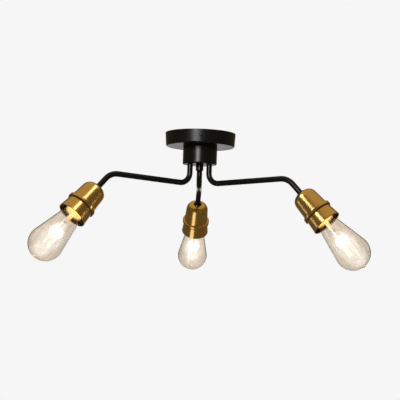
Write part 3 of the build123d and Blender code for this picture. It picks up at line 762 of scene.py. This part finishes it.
def world():
    """White background for the camera and glass, which metal mirrors behind the lamp; a dim room in front."""
    w = bpy.data.worlds.new("studio")
    bpy.context.scene.world = w
    w.use_nodes = True
    tree = w.node_tree
    tree.nodes.clear()

    def node(kind, **inputs):
        made = tree.nodes.new(kind)
        for key, value in inputs.items():
            socket = made.inputs[key.replace("_", " ")]
            if isinstance(value, bpy.types.NodeSocket):
                tree.links.new(value, socket)
            else:
                socket.default_value = value
        return made

    def mixed(factor, a, b):
        made = tree.nodes.new("ShaderNodeMixShader")
        for socket, value in zip(made.inputs, (factor, a.outputs[0], b.outputs[0])):
            tree.links.new(value, socket)
        return made

    def steps(value, low, high, to_low, to_high):
        made = tree.nodes.new("ShaderNodeMapRange")
        made.interpolation_type = "SMOOTHSTEP"
        tree.links.new(value, made.inputs["Value"])
        for name, v in zip(("From Min", "From Max", "To Min", "To Max"), (low, high, to_low, to_high)):
            made.inputs[name].default_value = v
        return made.outputs[0]

    def calculated(operation, a, b):
        made = tree.nodes.new("ShaderNodeMath")
        made.operation = operation
        for socket, value in zip(made.inputs, (a, b)):
            if isinstance(value, bpy.types.NodeSocket):
                tree.links.new(value, socket)
            else:
                socket.default_value = value
        return made.outputs[0]

    path = tree.nodes.new("ShaderNodeLightPath")
    generated = tree.nodes.new("ShaderNodeTexCoord").outputs["Generated"]
    direction = node("ShaderNodeSeparateXYZ", Vector=generated)
    backdrop = steps(direction.outputs["Y"], 0.93, 0.995, 0.0, 1.0)
    ceiling = steps(direction.outputs["Z"], 0.45, 0.84, 0.14, 0.52)
    white = (0.9216, 0.9216, 0.9216, 1)
    plain = node("ShaderNodeBackground", Color=white)
    room = node("ShaderNodeBackground", Color=(1.0, 0.81, 0.50, 1), Strength=ceiling)
    mirrored = mixed(backdrop, room, plain)
    light = node("ShaderNodeBackground", Color=(1, 1, 1, 1), Strength=0.25)
    bent = calculated("MAXIMUM", path.outputs["Is Glossy Ray"], path.outputs["Is Transmission Ray"])
    first = mixed(bent, light, mirrored)
    straight = calculated("LESS_THAN", path.outputs["Glossy Depth"], 0.5)
    through = calculated("MULTIPLY", path.outputs["Is Transmission Ray"], straight)
    last = mixed(calculated("MAXIMUM", path.outputs["Is Camera Ray"], through), first, plain)
    node("ShaderNodeOutputWorld", Surface=last.outputs[0])


def softbox(name, onto, direction, distance, width, length, radiance, along, colour=DAYLIGHT):
    """Rectangular soft daylight on some objects, in a direction from the lamp, long side along a vector."""
    data = bpy.data.lights.new(name, "AREA")
    data.color = colour
    data.shape = "RECTANGLE"
    data.size, data.size_y = width, length
    data.energy = radiance * math.pi * width * length
    obj = bpy.data.objects.new(name, data)
    bpy.context.scene.collection.objects.link(obj)
    z = Vector(direction).normalized()
    x = Vector(along).cross(z).normalized()
    turn = Matrix((x, z.cross(x), z)).transposed().to_4x4()
    obj.matrix_world = Matrix.Translation(TARGET + z * distance) @ turn
    obj.visible_camera = False
    receivers = bpy.data.collections.new(f"{name}_receivers")
    for receiver in onto:
        receivers.objects.link(receiver)
    obj.light_linking.receiver_collection = receivers
    return obj


def holders_of(side):
    """Cup and bulb glass on one arm."""
    return [bpy.data.objects[f"{piece}_{side}"] for piece in ("dome", "skirt", "glass")]


BLACK = [obj for node, obj in frame["nodes"].items() if NODE_MATERIALS[node] == "satin_black"]
stage()
world()
softbox("front_box", BLACK, (-0.24, -0.94, 0.24), 2.0, 0.70, 0.70, 13.0, (0, 0, 1), NEUTRAL)
CUP_BOXES = (
    ("left_box", "left", (0.38, -0.28, 0.88), 2.0, 0.54, 1.85, 3.6, (0.10, 0.42, 0.16)),
    ("right_box", "right", (-0.70, -0.44, 0.56), 2.0, 0.58, 1.80, 5.2, (-0.11, 0.61, 0.34)),
    ("back_box", "back", (-0.45, -0.46, -0.755), 1.4, 0.62, 1.90, 1.5, (0.02, -0.63, 0.54)),
    ("left_cup_strip", "left", (0.97, -0.10, -0.21), 2.0, 0.24, 1.40, 4.0, (-0.26, -0.39, -0.81)),
    ("right_cup_strip", "right", (-0.91, 0.0, -0.39), 2.0, 0.24, 1.40, 1.4, (0.29, -0.28, -0.85)),
)
for name, side, *measures in CUP_BOXES:
    softbox(name, holders_of(side), *measures)

for side, azimuth in AZIMUTHS.items():
    data = bpy.data.lights.new(f"bulb_light_{side}", "POINT")
    data.energy = BULB_POWER
    data.color = BULB_LIGHT
    data.shadow_soft_size = 0.012
    lamp = bpy.data.objects.new(f"bulb_light_{side}", data)
    bpy.context.scene.collection.objects.link(lamp)
    lamp.matrix_world = socket_matrix(azimuth) @ Matrix.Translation((0, 0, -0.105))
    lamp.visible_glossy = False

# ------------------------------------------------------------------ camera

AZIMUTH, ELEVATION, ROLL = math.radians(0.154), math.radians(-5.096), math.radians(1.741)
DISTANCE, FOCAL, SHIFT_X, SHIFT_Y = 1.784, 1037.0, -1.136, -8.603
look = Vector((0, 0, -0.1))
level = math.cos(ELEVATION)
back = Vector((math.sin(AZIMUTH) * level, -math.cos(AZIMUTH) * level, math.sin(ELEVATION)))
right = (-back).cross(Vector((0, 0, 1))).normalized()
up = right.cross(-back)
turned_right = math.cos(ROLL) * right + math.sin(ROLL) * up
turned_up = -math.sin(ROLL) * right + math.cos(ROLL) * up
camera_data = bpy.data.cameras.new("camera")
camera_data.sensor_width = 36.0
camera_data.lens = 36.0 * FOCAL / 400
camera_data.shift_x = -SHIFT_X / 400
camera_data.shift_y = SHIFT_Y / 400
camera_data.clip_end = 50
camera = bpy.data.objects.new("camera", camera_data)
bpy.context.scene.collection.objects.link(camera)
rotation = Matrix((turned_right, turned_up, back)).transposed().to_4x4()
camera.matrix_world = Matrix.Translation(look + back * DISTANCE) @ rotation
bpy.context.scene.camera = camera
bpy.context.scene.view_settings.view_transform = "Standard"
